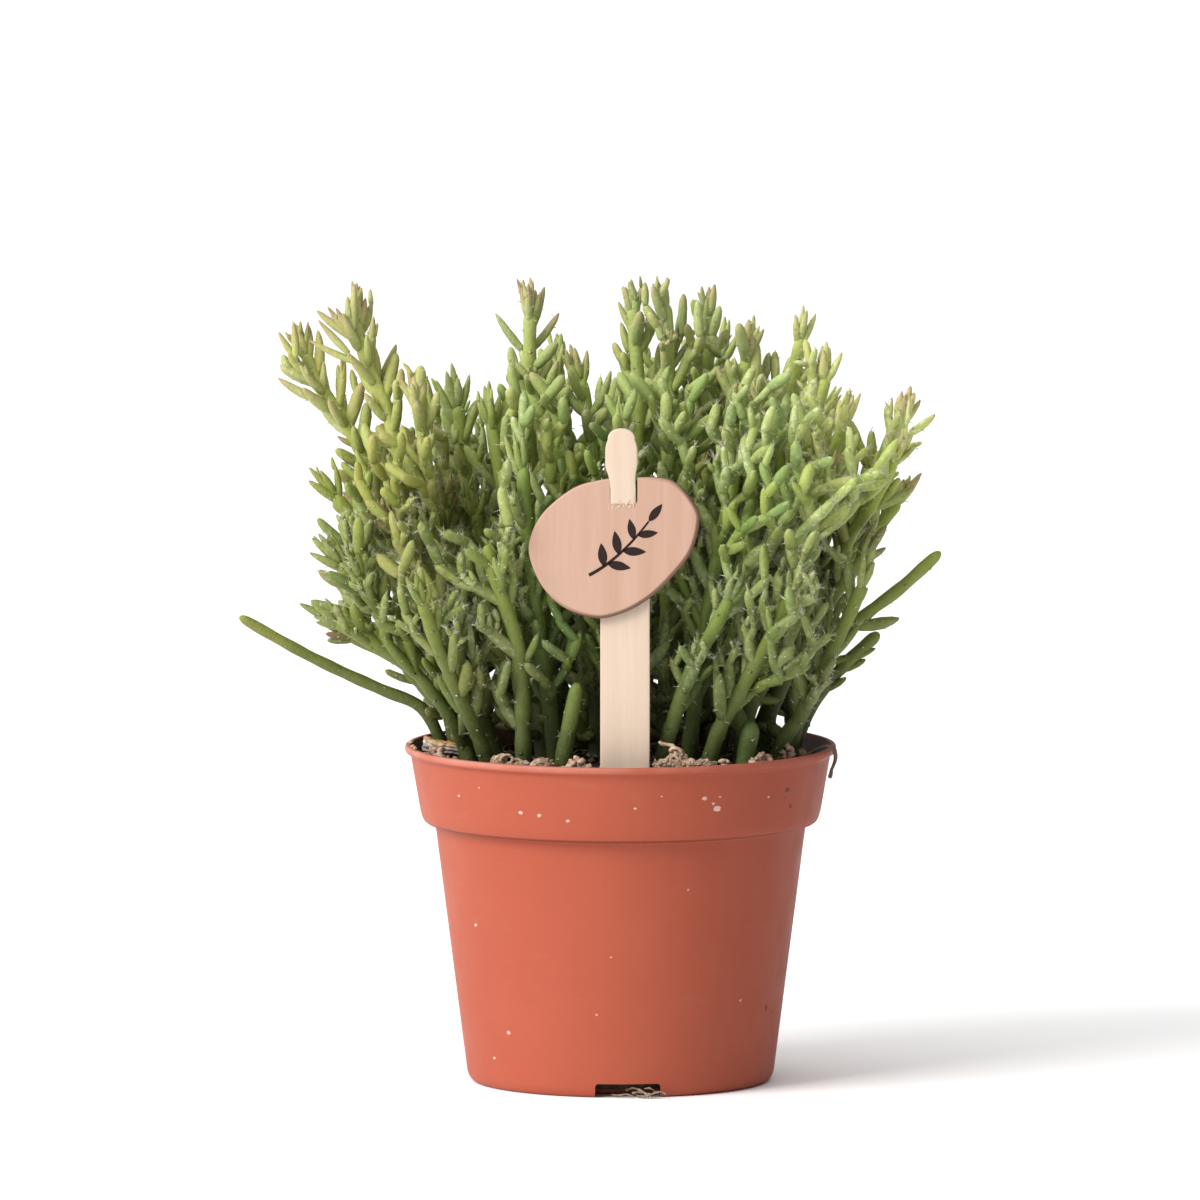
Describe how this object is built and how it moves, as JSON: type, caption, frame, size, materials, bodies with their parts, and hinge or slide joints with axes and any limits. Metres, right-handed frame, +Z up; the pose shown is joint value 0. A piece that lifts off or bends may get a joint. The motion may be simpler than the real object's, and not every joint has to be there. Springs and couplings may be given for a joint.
{
  "type": "potted rhipsalis",
  "caption": "Bushy segmented jungle cactus growing from soil in a tapered plastic nursery pot with a banded rim, with a wooden stick and a blank hanging wooden tag.",
  "frame": {"origin": "centre of the pot's underside, on the surface that the pot stands on", "axes": "+Z up along the pot's axis, -Y the front with the wooden stick and tag, +X to the right seen from the front"},
  "size_m": [0.1471, 0.1068, 0.168],
  "materials": {
    "pot_plastic": "satin terracotta-coloured moulded plastic",
    "soil": "rough dark potting soil",
    "crumb": "dry tan peat crumb",
    "stem_green": "waxy green cactus skin",
    "stick_wood": "bare pale birch",
    "tag_wood": "bare pinkish veneer with laser-browned edge",
    "bark": "rough bark",
    "dry_root": "dry root fibre"
  },
  "bodies": {
    "root": {"pot": "pot_plastic", "soil": "soil", "plant_stick": "stick_wood", "hanging_tag": "tag_wood", "bark_chip": "bark", "root_strand": "dry_root", "drain_root": "dry_root", "crumb_left_small": "crumb", "crumb_left_large": "crumb", "crumb_clump_right": "crumb", "crumb_far_right": "crumb", "crumb_right": "crumb", "crumb_right_edge": "crumb", "stem_back": "stem_green", "stem_back_left": "stem_green", "stem_back_left_low": "stem_green", "stem_back_right": "stem_green", "stem_back_right_low": "stem_green", "stem_back_tall_left": "stem_green", "stem_back_tall_right": "stem_green", "stem_behind_tag": "stem_green", "stem_behind_tag_left": "stem_green", "stem_behind_tag_right": "stem_green", "stem_centre": "stem_green", "stem_centre_left": "stem_green", "stem_centre_right": "stem_green", "stem_front_left": "stem_green", "stem_front_right": "stem_green", "stem_front_straight": "stem_green", "stem_front_upright": "stem_green", "stem_left_crown": "stem_green", "stem_left_high": "stem_green", "stem_left_inner": "stem_green", "stem_left_long": "stem_green", "stem_left_low": "stem_green", "stem_left_mid": "stem_green", "stem_left_spire": "stem_green", "stem_right_front": "stem_green", "stem_right_high": "stem_green", "stem_right_inner": "stem_green", "stem_right_long": "stem_green", "stem_right_low": "stem_green", "stem_right_mid": "stem_green", "stub_front_left": "stem_green", "stub_front_right": "stem_green", "stub_leaning": "stem_green"}
  },
  "joints": []
}
